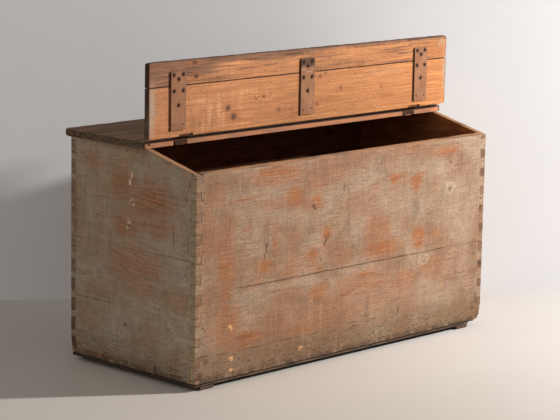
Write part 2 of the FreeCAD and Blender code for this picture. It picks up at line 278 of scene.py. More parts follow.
def boardJoints(place, across, z, joints):
    # joints: height, start and end in mm, then strength
    wobble = noiseOf(place, (0.03, 0.03, 0.03), 4.0, 33.0)
    total = None
    for height, start, end, strength in joints:
        off = abs(z + (wobble - 0.5) * boardSeam["wobble"] - height * mm)
        span = ramp(across, start * mm, (start + boardSeam["fade"]) * mm)
        span = span * ramp(across, end * mm, (end - boardSeam["fade"]) * mm)
        line = ramp(off, boardSeam["halfWidth"], boardSeam["core"]) * span
        line = line * ramp(wobble, 0.36, 0.52) * strength
        total = line if total is None else larger(total, line)
    return total


# thin worn paint over pine

frontPaint = {
    "grain": "x",
    "paint": (0.304, 0.169, 0.097),
    "palePaint": (0.412, 0.277, 0.182),
    "wood": (0.425, 0.168, 0.062),
    "deepWood": (0.335, 0.117, 0.040),
    "dirt": (0.085, 0.045, 0.024),
    "grit": (0.066, 0.034, 0.019),
    "hair": (0.165, 0.068, 0.028),
    "chipEdge": (0.42, 0.17, 0.065),
    "footBrown": (0.19, 0.112, 0.053),
    "brightChip": (0.74, 0.39, 0.15),
    "flecks": (0.52, 0.40, 0.28),
    "rubbed": (0.66, 0.52, 0.38),
    "smear": 0.4,
    "fade": 0.9,
    "softness": 0.3,
    "breakUp": 2.2,
    "mottle": 1.35,
    "specks": 0.85,
    "hairLines": 0.68,
    "footDirt": 0.6,
    "shift": 3.0,
    "edgeDirt": (0.54, 0.595),
    "joints": [(frontJoint / mm, -431, 300, 0.9), (frontJoint / mm, 250, 465, 0.35)],
    "worn": [
        (-225, 502, 26, 14, 1.0), (-222, 482, 36, 18, 0.7), (-90, 374, 17, 24, 1.0),
        (-86, 336, 12, 14, 0.6), (-150, 316, 24, 24, 0.8), (-116, 274, 18, 15, 0.9),
        (-340, 313, 36, 16, 0.9), (-364, 278, 10, 16, 0.8), (-415, 506, 110, 3, 0.9),
        (-360, 512, 70, 2.5, 0.8), (-525, 502, 30, 4, 0.8), (140, 300, 70, 22, 0.5),
        (300, 322, 34, 26, 0.9), (304, 290, 24, 16, 0.7), (420, 556, 70, 10, 0.7),
        (-290, 572, 90, 16, 0.8), (-490, 240, 30, 50, 0.5), (-490, 320, 30, 36, 0.5),
        (-125, 208, 34, 22, 0.6), (70, 232, 50, 10, 0.5), (-400, 124, 80, 24, 0.4),
        (-140, 470, 30, 22, 0.6), (-412, 424, 24, 8, 0.8), (-302, 385, 7, 46, 0.7),
        (-130, 512, 50, 4, 0.8), (-190, 110, 70, 10, 0.5), (362, 316, 30, 12, 0.5),
    ],
    "scraped": [
        (195, 506, 40, 8, 1.0), (191, 497, 27, 9, 1.0), (190, 488, 13, 9, 0.9), (302, 501, 28, 7, 1.0),
        (286, 490, 33, 12, 1.0), (286, 477, 30, 12, 1.0), (286, 463, 21, 12, 1.0), (286, 450, 10, 12, 0.9),
        (-92, 372, 16, 24, 0.8), (-224, 500, 24, 14, 0.7),
    ],
    "faded": [
        (-290, 560, 170, 44, 0.8), (-225, 488, 64, 46, 0.7), (-150, 462, 70, 44, 0.6),
        (-490, 330, 64, 170, 0.7), (-480, 160, 80, 110, 0.8), (-90, 352, 42, 66, 0.6),
        (-150, 305, 60, 56, 0.6), (-300, 380, 22, 80, 0.5), (-340, 308, 64, 36, 0.65),
        (-222, 292, 64, 56, 0.55), (125, 360, 90, 90, 0.6), (150, 300, 130, 44, 0.8),
        (300, 312, 58, 58, 0.7), (370, 312, 60, 40, 0.3), (-122, 205, 80, 46, 0.75),
        (70, 205, 180, 62, 0.7), (245, 190, 90, 56, 0.6), (365, 212, 90, 54, 0.55),
        (-425, 115, 140, 40, 0.8), (-170, 112, 130, 32, 0.7), (405, 556, 110, 36, 0.65),
        (220, 575, 160, 22, 0.45), (-60, 540, 140, 40, 0.4), (110, 480, 40, 26, 0.4),
        (-560, 420, 40, 170, 0.45), (-40, 140, 580, 100, 0.45), (480, 250, 110, 100, 0.1),
        (-20, 300, 60, 60, 0.35), (-545, 545, 70, 60, 0.5), (-470, 450, 54, 44, 0.5),
        (-535, 220, 70, 160, 0.45), (40, 445, 130, 56, 0.5), (-250, 215, 110, 44, 0.45),
        (-300, 480, 100, 28, 0.5),
    ],
    "pale": [
        (500, 320, 110, 110, 1.0), (320, 60, 100, 40, 0.6), (-431, 451, 44, 55, 0.7),
        (-223, 435, 90, 40, 0.75), (11, 349, 60, 50, 0.6), (450, 400, 125, 120, 1.0),
        (250, 440, 200, 90, 0.7), (327, 239, 30, 14, 0.8), (-575, 545, 22, 40, 0.8),
        (350, 510, 150, 60, 0.9), (150, 420, 70, 60, 0.7), (400, 130, 150, 70, 0.7),
        (-60, 200, 60, 30, 0.4), (-370, 440, 40, 70, 0.6),
    ],
    "grainShows": [
        (-420, 504, 170, 34, 1.0), (-200, 500, 130, 44, 0.9), (-60, 522, 110, 34, 0.8),
        (150, 330, 130, 70, 0.5), (60, 205, 200, 50, 0.5), (240, 490, 100, 40, 0.6),
        (-300, 400, 150, 90, 0.4),
    ],
    "rings": [
        (440, 444, 26, 20, 0.9), (434, 446, 12, 12, 0.7), (586, 448, 8, 12, 0.5), (328, 241, 28, 18, 0.7),
        (430, 490, 10, 14, 0.35),
    ],
    "bright": [
        (-469, 163, 12, 8, 1.0), (-463, 155, 6, 10, 0.9), (-465, 76, 15, 6, 1.0), (-461, 69, 8, 7, 0.9),
        (-464, 41, 11, 7, 1.0), (-190, 60, 15, 5, 1.0), (-196, 53, 7, 5, 0.8), (415, 152, 12, 5, 0.6),
    ],
    "dark": [
        (-101, 343, 7, 9, 1.0), (-95, 352, 6, 9, 1.0), (-88, 361, 5, 9, 0.9), (-148, 456, 10, 11, 0.9),
        (-143, 449, 8, 7, 0.8), (-25, 497, 3, 18, 0.9), (-333, 362, 6, 20, 0.9), (-340, 340, 5, 14, 0.8),
        (131, 549, 7, 5, 0.9), (438, 520, 7, 5, 0.8), (439, 441, 9, 8, 0.7), (221, 104, 4, 18, 0.9),
        (-570, 540, 7, 5, 0.8), (-575, 520, 5, 7, 0.8), (-565, 512, 9, 4, 0.8), (-430, 296, 26, 2.5, 0.5),
        (-560, 78, 10, 14, 0.7), (-570, 95, 34, 3, 0.9), (-500, 90, 40, 3, 0.8), (-390, 91, 70, 2.5, 0.7),
        (-250, 92, 80, 2.5, 0.6), (-150, 90, 40, 3, 0.7), (30, 86, 34, 4, 0.8), (110, 96, 30, 3, 0.6),
        (-115, 300, 4, 12, 0.6), (20, 98, 40, 3, 0.8), (-60, 84, 32, 3, 0.8), (70, 110, 28, 3, 0.7),
        (90, 90, 14, 4, 0.7), (560, 230, 12, 4, 0.6), (-330, 372, 8, 5, 0.8), (300, 260, 5, 3, 0.7),
        (575, 90, 12, 30, 0.6), (-580, 45, 16, 16, 0.7), (560, 60, 14, 12, 0.6), (-300, 236, 60, 2.5, 0.5),
    ],
    "stain": [
        (-3, 428, 15, 150, 0.5), (290, 398, 22, 60, 0.6), (83, 130, 15, 70, 0.5), (-335, 400, 24, 80, 0.4),
        (560, 200, 36, 160, 0.3), (210, 110, 60, 50, 0.35), (-560, 120, 40, 100, 0.35),
        # the three broad marks on the next line darken the lower front as a whole
        (-80, 60, 420, 34, 0.35), (-330, 110, 240, 110, 0.22), (400, 110, 200, 100, 0.15),
        (588, 46, 26, 20, 1.0), (-588, 36, 26, 18, 0.9), (-550, 555, 70, 50, 0.35),
        (-535, 265, 60, 140, 0.35), (-465, 240, 70, 90, 0.2), (40, 450, 120, 50, 0.25),
        (-240, 212, 130, 44, 0.3),
    ],
}

leftEndPaint = {
    "grain": "y",
    "paint": (0.40, 0.270, 0.172),
    "palePaint": (0.455, 0.360, 0.262),
    "wood": (0.47, 0.205, 0.092),
    "deepWood": (0.36, 0.135, 0.056),
    "dirt": (0.085, 0.052, 0.028),
    "grit": (0.060, 0.038, 0.022),
    "hair": (0.15, 0.080, 0.042),
    "chipEdge": (0.60, 0.48, 0.32),
    "footBrown": (0.20, 0.120, 0.060),
    "band": (0.43, 0.325, 0.185),
    "brightChip": (0.86, 0.70, 0.44),
    "flecks": (0.72, 0.60, 0.42),
    "rubbed": (0.74, 0.62, 0.44),
    "smear": 0.35,
    "fade": 1.05,
    "softness": 0.1,
    "breakUp": 1.5,
    "mottle": 0.85,
    "specks": 0.7,
    "hairLines": 0.55,
    "darkPins": [(-590, 540, 14, 20, 0.4), (-590, 245, 14, 14, 0.4), (-590, 60, 14, 30, 0.5)],
    "footDirt": 0.3,
    "shift": 11.0,
    "edgeDirt": (0.21, 0.262),
    "joints": [(endHighJoint / mm, -262, -110, 0.4), (endLowJoint / mm, 50, 235, 0.5)],
    "worn": [
        (223, 34, 16, 13, 1.0), (120, 30, 60, 9, 0.8), (30, 405, 14, 30, 0.25), (-110, 500, 60, 5, 0.3),
        (-70, 472, 70, 4, 0.3),
    ],
    "scraped": [(228, 34, 12, 9, 0.8), (-10, 545, 12, 26, 0.4)],
    "faded": [
        (-95, 500, 150, 90, 0.8), (20, 535, 110, 70, 0.75), (-120, 430, 120, 60, 0.65),
        (10, 420, 110, 70, 0.6), (-30, 310, 180, 110, 0.6), (-190, 240, 110, 60, 0.4),
        (140, 585, 130, 44, 0.45), (40, 600, 100, 50, 0.5), (-225, 545, 40, 90, 0.35),
        (120, 32, 140, 16, 0.7), (-40, 250, 200, 50, 0.4),
    ],
    "pale": [
        (-248, 330, 12, 300, 0.7), (60, 150, 170, 80, 0.8), (150, 450, 70, 130, 0.7),
        (60, 610, 120, 30, 0.6), (-150, 100, 90, 50, 0.5), (-170, 390, 30, 60, 0.5),
        (-40, 200, 90, 30, 0.5), (120, 185, 70, 34, 1.0), (-50, 72, 110, 36, 1.0), (90, 390, 50, 50, 0.5),
    ],
    "bright": [
        (-12, 558, 6, 16, 0.8), (-5, 540, 8, 15, 0.9), (-20, 478, 9, 6, 0.55), (-12, 490, 7, 7, 0.65),
        (-3, 427, 9, 9, 0.8), (6, 412, 4, 10, 0.7), (228, 32, 9, 8, 0.4),
    ],
    "grainShows": [(-90, 490, 150, 90, 0.7), (-20, 330, 190, 90, 0.7), (60, 180, 170, 60, 0.4)],
    "rings": [(-15, 484, 14, 13, 0.5), (-1, 425, 13, 14, 0.4), (-8, 550, 12, 22, 0.4)],
    "dark": [
        (13, 138, 8, 8, 0.9), (-49, 138, 5, 6, 0.8), (-111, 40, 8, 14, 0.9), (35, 40, 6, 7, 0.8),
        (-179, 409, 2.5, 52, 0.8), (10, 622, 5, 5, 0.8), (-162, 155, 5, 4, 0.7), (-15, 484, 3, 8, 0.7),
        (0, 420, 4, 5, 0.8), (-6, 541, 3, 6, 0.6), (170, 585, 10, 4, 0.7), (195, 596, 9, 5, 0.7),
        (-236, 400, 3, 60, 0.5), (-240, 560, 6, 12, 0.8), (-228, 520, 5, 9, 0.7), (-245, 470, 5, 8, 0.8),
        (-250, 590, 6, 9, 0.7), (130, 430, 7, 3, 0.7),
    ],
    "stain": [
        (-20, 44, 260, 20, 0.5), (230, 400, 26, 220, 0.35), (-140, 470, 12, 90, 0.3),
        (20, 634, 230, 14, 0.8), (-190, 612, 90, 12, 0.5), (240, 60, 30, 40, 0.6),
        (-258, 330, 7, 300, 0.6),
    ],
}

rightEndPaint = dict(
    leftEndPaint,
    shift=23.0,
    rings=[(40, 480, 12, 13, 0.7)],
    faded=[
        (20, 400, 190, 70, 0.6), (60, 340, 130, 60, 0.6), (-140, 180, 120, 60, 0.5),
        (140, 560, 90, 50, 0.4),
    ],
    darkPins=[
        (590, 532, 15, 15, 0.8), (590, 475, 15, 16, 0.9), (590, 305, 15, 15, 0.9), (590, 191, 15, 15, 0.9),
        (590, 135, 15, 16, 0.8), (590, 78, 15, 14, 0.55), (590, 248, 15, 14, 0.5), (590, 30, 15, 20, 0.7),
    ],
    worn=[(40, 402, 46, 7, 0.5), (-10, 372, 60, 6, 0.5), (64, 350, 30, 5, 0.4), (-150, 186, 40, 5, 0.5)],
    scraped=[(64, 352, 24, 4, 0.6)],
    pale=[(-120, 450, 90, 110, 0.6), (130, 200, 90, 70, 0.5)],
    bright=[(60, 470, 5, 12, 0.7), (-200, 90, 10, 5, 0.7)],
    dark=[(90, 130, 6, 7, 0.8), (-70, 300, 5, 6, 0.8), (150, 350, 3, 40, 0.6)],
    stain=[
        (-255, 45, 34, 30, 1.0), (0, 60, 230, 40, 0.3), (-180, 300, 30, 160, 0.3), (20, 634, 230, 14, 0.7),
    ],
)

backPaint = dict(
    frontPaint,
    shift=41.0,
    smear=0.4,
    specks=0.6,
    joints=[(backLowJoint / mm, -600, 600, 0.6), (backHighJoint / mm, -600, 600, 0.6)],
    rings=[(-300, 300, 14, 14, 0.6)],
    faded=[
        (-340, 430, 190, 60, 0.5), (-240, 390, 150, 60, 0.5), (220, 320, 230, 60, 0.5),
        (300, 270, 160, 60, 0.5), (40, 540, 190, 40, 0.5), (-100, 120, 300, 60, 0.4),
    ],
    worn=[(-330, 432, 70, 7, 0.5), (-270, 408, 50, 6, 0.5), (230, 318, 80, 7, 0.5), (290, 284, 50, 6, 0.5)],
    scraped=[(-310, 420, 40, 5, 0.6)],
    pale=[(420, 480, 120, 80, 0.6), (-120, 180, 160, 60, 0.5)],
    bright=[(-420, 120, 12, 7, 0.8), (330, 90, 14, 6, 0.8)],
    dark=[(-90, 330, 8, 9, 0.9), (380, 420, 7, 7, 0.9), (180, 160, 22, 3, 0.7)],
    stain=[(-480, 300, 60, 180, 0.35), (120, 80, 300, 40, 0.35)],
)

bareEdge = {"wood": (0.52, 0.27, 0.135), "grey": (0.26, 0.155, 0.095)}
insidePine = {
    "wood": (0.26, 0.096, 0.033),
    "dark": (0.14, 0.046, 0.015),
    "endWood": (0.50, 0.190, 0.066),
    "endDark": (0.32, 0.110, 0.036),
}
paintSkin = {"from": 0.004, "to": 0.0016, "lidTo": 0.0015}  # how deep the paint reaches over an edge
endGrain = {
    "left": (0.40, 0.300, 0.172),
    "right": (0.165, 0.070, 0.042),
    "rear": (0.27, 0.178, 0.112),
    "pin": (0.27, 0.160, 0.092),
}

paintPattern = {  # sizes of the paint's features in metres, or their length and width along the grain
    "cloud": (0.22, 0.22, 0.17),
    "smear": (0.05, 0.05, 0.26),  # smears run down the boards
    "brush": (0.009, 0.009, 0.10),
    "blotch": (0.035, 0.035, 0.03),
    "fleck": (0.0068, 0.0068, 0.0048),
    "grit": (0.0085, 0.0085, 0.0062),
    "streak": (0.11, 0.006),
    "hair": (0.06, 0.0032),
    "scuffs": (0.036, 0.0046),
}
footReach = {"brown": (0.12, 0.03), "dirt": (0.024, 0.003), "grit": (0.10, 0.005)}  # over the case's foot


def nearFoot(z, reach):
    return ramp(z, caseFoot + footReach[reach][0], caseFoot + footReach[reach][1])


def paintColour(place, axes, look, plane):
    x, y, z = axes
    across = x if plane == "y" else y
    grain, shift = look["grain"], look["shift"]
    ragged = roughened(place, 0.020, 0.024)
    fibres, rings = pineGrain(place, z, grain, shift)
    sizes = paintPattern
    cloud = noiseOf(place, sizes["cloud"], 5.0, shift)
    smear = noiseOf(place, sizes["smear"], 5.0, shift + 2)
    brush = noiseOf(place, sizes["brush"], 4.0, shift + 3)
    streak = noiseOf(place, alongGrain(grain, *sizes["streak"]), 4.0, shift + 7)
    blotch = noiseOf(place, sizes["blotch"], 6.0, shift + 9)
    fleck = noiseOf(place, sizes["fleck"], 3.0, shift + 13)

    paint = blend(ramp(cloud, 0.40, 0.62), look["paint"], look["palePaint"])
    pale = markMask(ragged, look["pale"], plane, 0.2)
    paint = blend(pale * 0.85, paint, look["palePaint"])
    mottle = (fleck - 0.5) * look["mottle"]
    paint = shaded(paint, mottle + blotch * 0.8 + brush * 0.4 + streak * 0.3 + 0.25)
    wood = blend(rings, look["wood"], look["deepWood"])
    wood = shaded(wood, mottle + fibres * 0.7 + brush * 0.4 + 0.45)

    thin = ramp(smear, 0.44, 0.66) * ramp(cloud, 0.64, 0.42) * look["smear"]
    faded = larger(markMask(ragged, look["faded"], plane, look["softness"]), thin)
    crumbled = roughened(place, 0.010, 0.010)
    placed = markMask(ragged, look["worn"], plane, 0.3) * ramp(streak + brush, 0.70, 1.0)
    placed = larger(placed, markMask(crumbled, look["scraped"], plane, 0.6) * ramp(streak, 0.30, 0.46))
    breakUp = (blotch * 0.4 + brush * 0.55 + streak * 0.4 - 0.69) * (faded * 0.7 + 0.3)
    worn = clamped((faded * look["fade"] + breakUp * look["breakUp"]) * (1 - pale * 0.6) + placed * 0.9)
    colour = blend(worn, paint, wood)
    colour = blend(ramp(brush, 0.54, 0.70) * 0.4, colour, look["palePaint"])
    colour = shaded(colour, fibres * 0.4 + rings * 0.05 + 0.76)
    colour = blend(markMask(ragged, look["stain"], plane, 0.1) * 0.55, colour, look["dirt"])

    foot = nearFoot(z, "brown") * ramp(blotch + smear, 0.70, 1.1)
    colour = blend(foot * look["footDirt"], colour, look["footBrown"])
    foot = nearFoot(z, "dirt") * ramp(blotch, 0.34, 0.56) * 0.8
    colour = blend(foot, colour, look["dirt"])
    hair = noiseOf(place, alongGrain(grain, *sizes["hair"]), 3.0, shift + 15)
    hair = ramp(hair, 0.56, 0.68) * ramp(blotch, 0.34, 0.58)
    colour = blend(hair * look["hairLines"] * (1 - pale * 0.4), colour, look["hair"])
    shows = markMask(ragged, look["grainShows"], plane, 0.2) * ramp(rings, 0.62, 0.96)
    colour = blend(shows * ramp(streak, 0.36, 0.54) * 0.6, colour, look["deepWood"])
    edgeDirt = ramp(abs(across), *look["edgeDirt"])
    lowDirt = nearFoot(z, "grit")
    density = clamped(larger(lowDirt, edgeDirt) * 0.8 + ramp(cloud, 0.50, 0.66) * 0.3 + 0.2)
    grit = noiseOf(place, sizes["grit"], 2.0, shift)
    scuffs = noiseOf(place, alongGrain(grain, *sizes["scuffs"]), 2.0, shift + 4)
    scuffs = ramp(scuffs + lowDirt * 0.04, 0.63, 0.71)
    grit = larger(ramp(grit + lowDirt * 0.03, 0.60, 0.68), scuffs) * density
    colour = blend(grit * look["specks"], colour, look["grit"])
    if "band" in look:  # the ends' front edge has yellowed
        yellowed = ramp(across + brush * 0.02, frontFace + 0.040, frontFace + 0.026) * 0.55
        colour = blend(yellowed, colour, look["band"])
    colour = blend(ramp(fleck, 0.36, 0.26) * 0.5, colour, look["flecks"])
    colour = blend(boardJoints(place, across, z, look["joints"]), colour, look["dirt"])
    chips = markMask(crumbled, look["bright"], plane, 0.1)
    colour = blend(ramp(chips, 0.05, 0.5) * 0.6, colour, look["chipEdge"])
    colour = blend(ramp(chips, 0.25, 0.75) * (1.4 - fleck * 0.9), colour, look["brightChip"])
    rubbed = markMask(ragged, look["rings"], plane, 0.5, True) * ramp(fleck, 0.34, 0.60) * 0.6
    colour = blend(rubbed, colour, look["rubbed"])
    dents = markMask(crumbled, look["dark"], plane, 0.3)
    colour = blend(dents * 0.85, colour, look["dirt"])
    relief = fibres * 0.5 + rings * 0.15 + blotch * 0.8 + fleck * 0.5 - grit * 0.8 - hair * 0.6
    return colour, relief, worn


def bareColour(place, z, wood, grey, grain, shift):
    fibres, rings = pineGrain(place, z, grain, shift)
    patches = noiseOf(place, alongGrain(grain, 0.09, 0.02), 4.0, shift + 3)
    colour = shaded(blend(ramp(patches, 0.42, 0.66), wood, grey), fibres * 0.6 + rings * 0.08 + 0.66)
    return colour, fibres * 0.8 + rings * 0.2


def paintedSkin(outward, face, full):  # 1 on the painted outside, 0 further in
    return ramp(outward, face - paintSkin["from"], face - paintSkin[full])


def paintedWall(name, look, outerFace, tails, tall):
    material, root, place, axes, facing = startMaterial(name)
    x, y, z = axes
    sign = 1 if outerFace > 0 else -1
    outside = paintedSkin(y * sign, abs(outerFace), "to")
    colour, relief, worn = paintColour(place, axes, look, "y")
    inner, innerRelief = bareColour(place, z, insidePine["wood"], insidePine["dark"], "x", look["shift"])
    edge, edgeRelief = bareColour(place, y, bareEdge["wood"], bareEdge["grey"], "x", look["shift"] + 1)
    inFromCorner = caseHalf - abs(x)
    lines = jointLines(z, inFromCorner, tall, tails, True)
    breaks = noiseOf(place, (0.012, 0.012, 0.016), 3.0, look["shift"] + 8)
    nearPin = ramp(nearestPin(z, tall, tails), 0.022, 0.006) * ramp(inFromCorner, 0.030, 0.012)
    nearPin = nearPin * ramp(breaks, 0.46, 0.62)
    colour = blend(larger(lines * ramp(breaks, 0.34, 0.50), nearPin * 0.6), colour, look["grit"])
    colour = blend(outside, inner, colour)
    rim = ramp(facing[2], 0.45, 0.85)
    colour = blend(rim, colour, edge)
    tailEnd = ramp(abs(facing[0]), 0.6, 0.85) * ramp(abs(x), caseHalf - 0.006, caseHalf - 0.002)
    cover = noiseOf(place, (0.02, 0.02, 0.014), 5.0, look["shift"])
    endColour = endGrain["left"] if sign < 0 else endGrain["rear"]
    tailColour = blend(ramp(cover, 0.46, 0.66), endColour, leftEndPaint["paint"])
    tailColour = shaded(tailColour, cover * 1.6 + 0.15)
    tailLines = jointLines(z, abs(y - outerFace), tall, tails, False)
    tailColour = blend(tailLines * ramp(cover, 0.40, 0.56) * 0.6, tailColour, look["dirt"])
    if sign > 0:  # the rear tails are dirtier further down
        tailColour = blend(ramp(z + cover * 0.3, 0.52, 0.14) * 0.75, tailColour, look["dirt"])
    colour = blend(tailEnd, colour, tailColour)
    height = relief * 0.6 + edgeRelief * rim - lines * 0.8 + innerRelief * (1 - outside) * 0.4
    finishMaterial(root, colour, 0.74 - worn * 0.08, height, 0.6)
    return material


def paintedEnd(name, look, side):
    material, root, place, axes, facing = startMaterial(name)
    x, y, z = axes
    chipped = ramp(z, caseFoot + 0.05, caseFoot + 0.03) * 0.008  # chips at the foot look like the face
    outside = paintedSkin(x * side + chipped, caseHalf, "to")
    colour, relief, worn = paintColour(place, axes, look, "x")
    shift = look["shift"]
    inner, innerRelief = bareColour(place, z, insidePine["endWood"], insidePine["endDark"], "y", shift)
    edge, edgeRelief = bareColour(place, x, bareEdge["wood"], bareEdge["grey"], "y", shift + 1)
    frontHeight = frontTop - caseFoot
    frontLines = jointLines(z, y - frontFace, frontHeight, joint["frontTails"], False)
    backLines = jointLines(z, backFace - y, rearTop - caseFoot, joint["backTails"], False)
    colour = blend(larger(frontLines, backLines) * 0.35, colour, look["dirt"])
    colour = blend(outside, inner, colour)
    rim = ramp(facing[2], 0.45, 0.85)
    colour = blend(rim, colour, edge)
    halfDepth = (backFace - frontFace) / 2
    pinEnd = ramp(abs(y - (frontFace + backFace) / 2), halfDepth - 0.008, halfDepth - 0.002)
    pinEnd = ramp(abs(facing[1]), 0.6, 0.85) * pinEnd
    cover = noiseOf(place, (0.03, 0.03, 0.03), 5.0, shift)
    pinColour = blend(ramp(cover, 0.30, 0.52), endGrain["pin"], frontPaint["paint"])
    darkPins = markMask(place, look["darkPins"], "y", 0.5) * ramp(cover, 0.2, 0.5)
    pinColour = blend(darkPins, pinColour, endGrain["right"])
    pinColour = shaded(pinColour, cover * 1.2 + 0.4)
    pinLines = jointLines(z, caseHalf - abs(x), frontHeight, joint["frontTails"], True)
    pinColour = blend(pinLines * 0.6 * ramp(cover, 0.40, 0.55) * ramp(y, 0.0, -0.1), pinColour, look["dirt"])
    colour = blend(pinEnd, colour, pinColour)
    height = relief * 0.6 + edgeRelief * rim + innerRelief * (1 - outside) * 0.4
    finishMaterial(root, colour, 0.76 - worn * 0.08, height, 0.6)
    return material


# the lid: bare pine inside, paint outside

lidLook = {
    "wood": (0.45, 0.186, 0.072),
    "paleWood": (0.53, 0.236, 0.100),
    "goldWood": (0.68, 0.276, 0.088),
    "ring": (0.42, 0.142, 0.042),
    "bar": (0.64, 0.325, 0.155),
    "grey": (0.255, 0.126, 0.076),
    "rub": (0.50, 0.36, 0.25),
    "dirt": (0.10, 0.042, 0.020),
    "endPaint": (0.062, 0.031, 0.018),
    "lowEndPaint": (0.118, 0.076, 0.048),
    "topEdge": (0.13, 0.068, 0.042),
    "knots": [
        (-316, 727, 13, 12, 0.9), (-294, 701, 17, 15, 0.85), (-437, 824, 12, 10, 1.0),
        (-176, 748, 9, 5, 0.8), (-115, 706, 11, 8, 0.6), (142, 748, 9, 10, 0.5), (318, 739, 9, 9, 0.4),
        (54, 788, 10, 7, 0.7), (-443, 862, 16, 9, 0.8), (42, 708, 8, 8, 0.6), (-206, 742, 5, 4, 0.7),
        (75, 795, 8, 6, 0.5),
    ],
    "reddish": [
        (80, 720, 70, 14, 0.9), (340, 712, 80, 22, 0.9), (-58, 694, 26, 40, 1.0), (430, 700, 60, 20, 0.5),
        (-540, 720, 40, 40, 0.5), (-30, 770, 20, 50, 0.5), (-150, 690, 90, 20, 0.5),
        (200, 810, 200, 8, 0.5), (570, 835, 90, 60, 0.8),
    ],
    "pale": [
        (-297, 826, 14, 22, 0.9), (-423, 758, 40, 26, 0.6), (-250, 770, 60, 20, 0.4),
        (330, 780, 140, 18, 0.5), (-520, 690, 40, 20, 0.5), (-352, 735, 14, 70, 1.0),
        (-335, 690, 10, 50, 0.9), (-385, 715, 12, 60, 0.9), (-268, 745, 12, 60, 0.8),
        (-410, 690, 10, 40, 0.7),
    ],
    "weather": [
        (-430, 870, 320, 24, 0.9), (-60, 872, 340, 18, 0.8), (360, 873, 340, 16, 0.8),
        (-560, 838, 130, 60, 0.6), (-440, 842, 120, 30, 0.6), (-120, 856, 160, 8, 0.5),
    ],
    "joints": [(lidJoint / mm + 0.8, -640, 640, 0.9)],
    "rubbed": [(-604, 740, 24, 110, 1.0), (606, 760, 14, 100, 0.9), (590, 850, 30, 16, 0.6)],
}

lidSkin = dict(
    frontPaint,
    shift=53.0,
    footDirt=0.0,
    smear=0.5,
    joints=[(lidJoint / mm, -620, 620, 0.7)],
    rings=[(200, 780, 16, 14, 0.6)],
    faded=[
        (-240, 770, 260, 40, 0.5), (-100, 730, 160, 40, 0.5), (300, 820, 240, 40, 0.5),
        (460, 730, 120, 40, 0.4),
    ],
    worn=[(-240, 770, 80, 6, 0.5), (-170, 748, 60, 5, 0.5), (310, 832, 90, 6, 0.5), (480, 720, 40, 5, 0.5)],
    scraped=[(-200, 758, 50, 4, 0.6)],
    pale=[(120, 740, 160, 40, 0.6)],
    bright=[(-480, 850, 14, 6, 0.8)],
    dark=[(-40, 790, 10, 4, 0.8), (360, 700, 8, 6, 0.8)],
    stain=[(-420, 720, 90, 40, 0.4)],
)


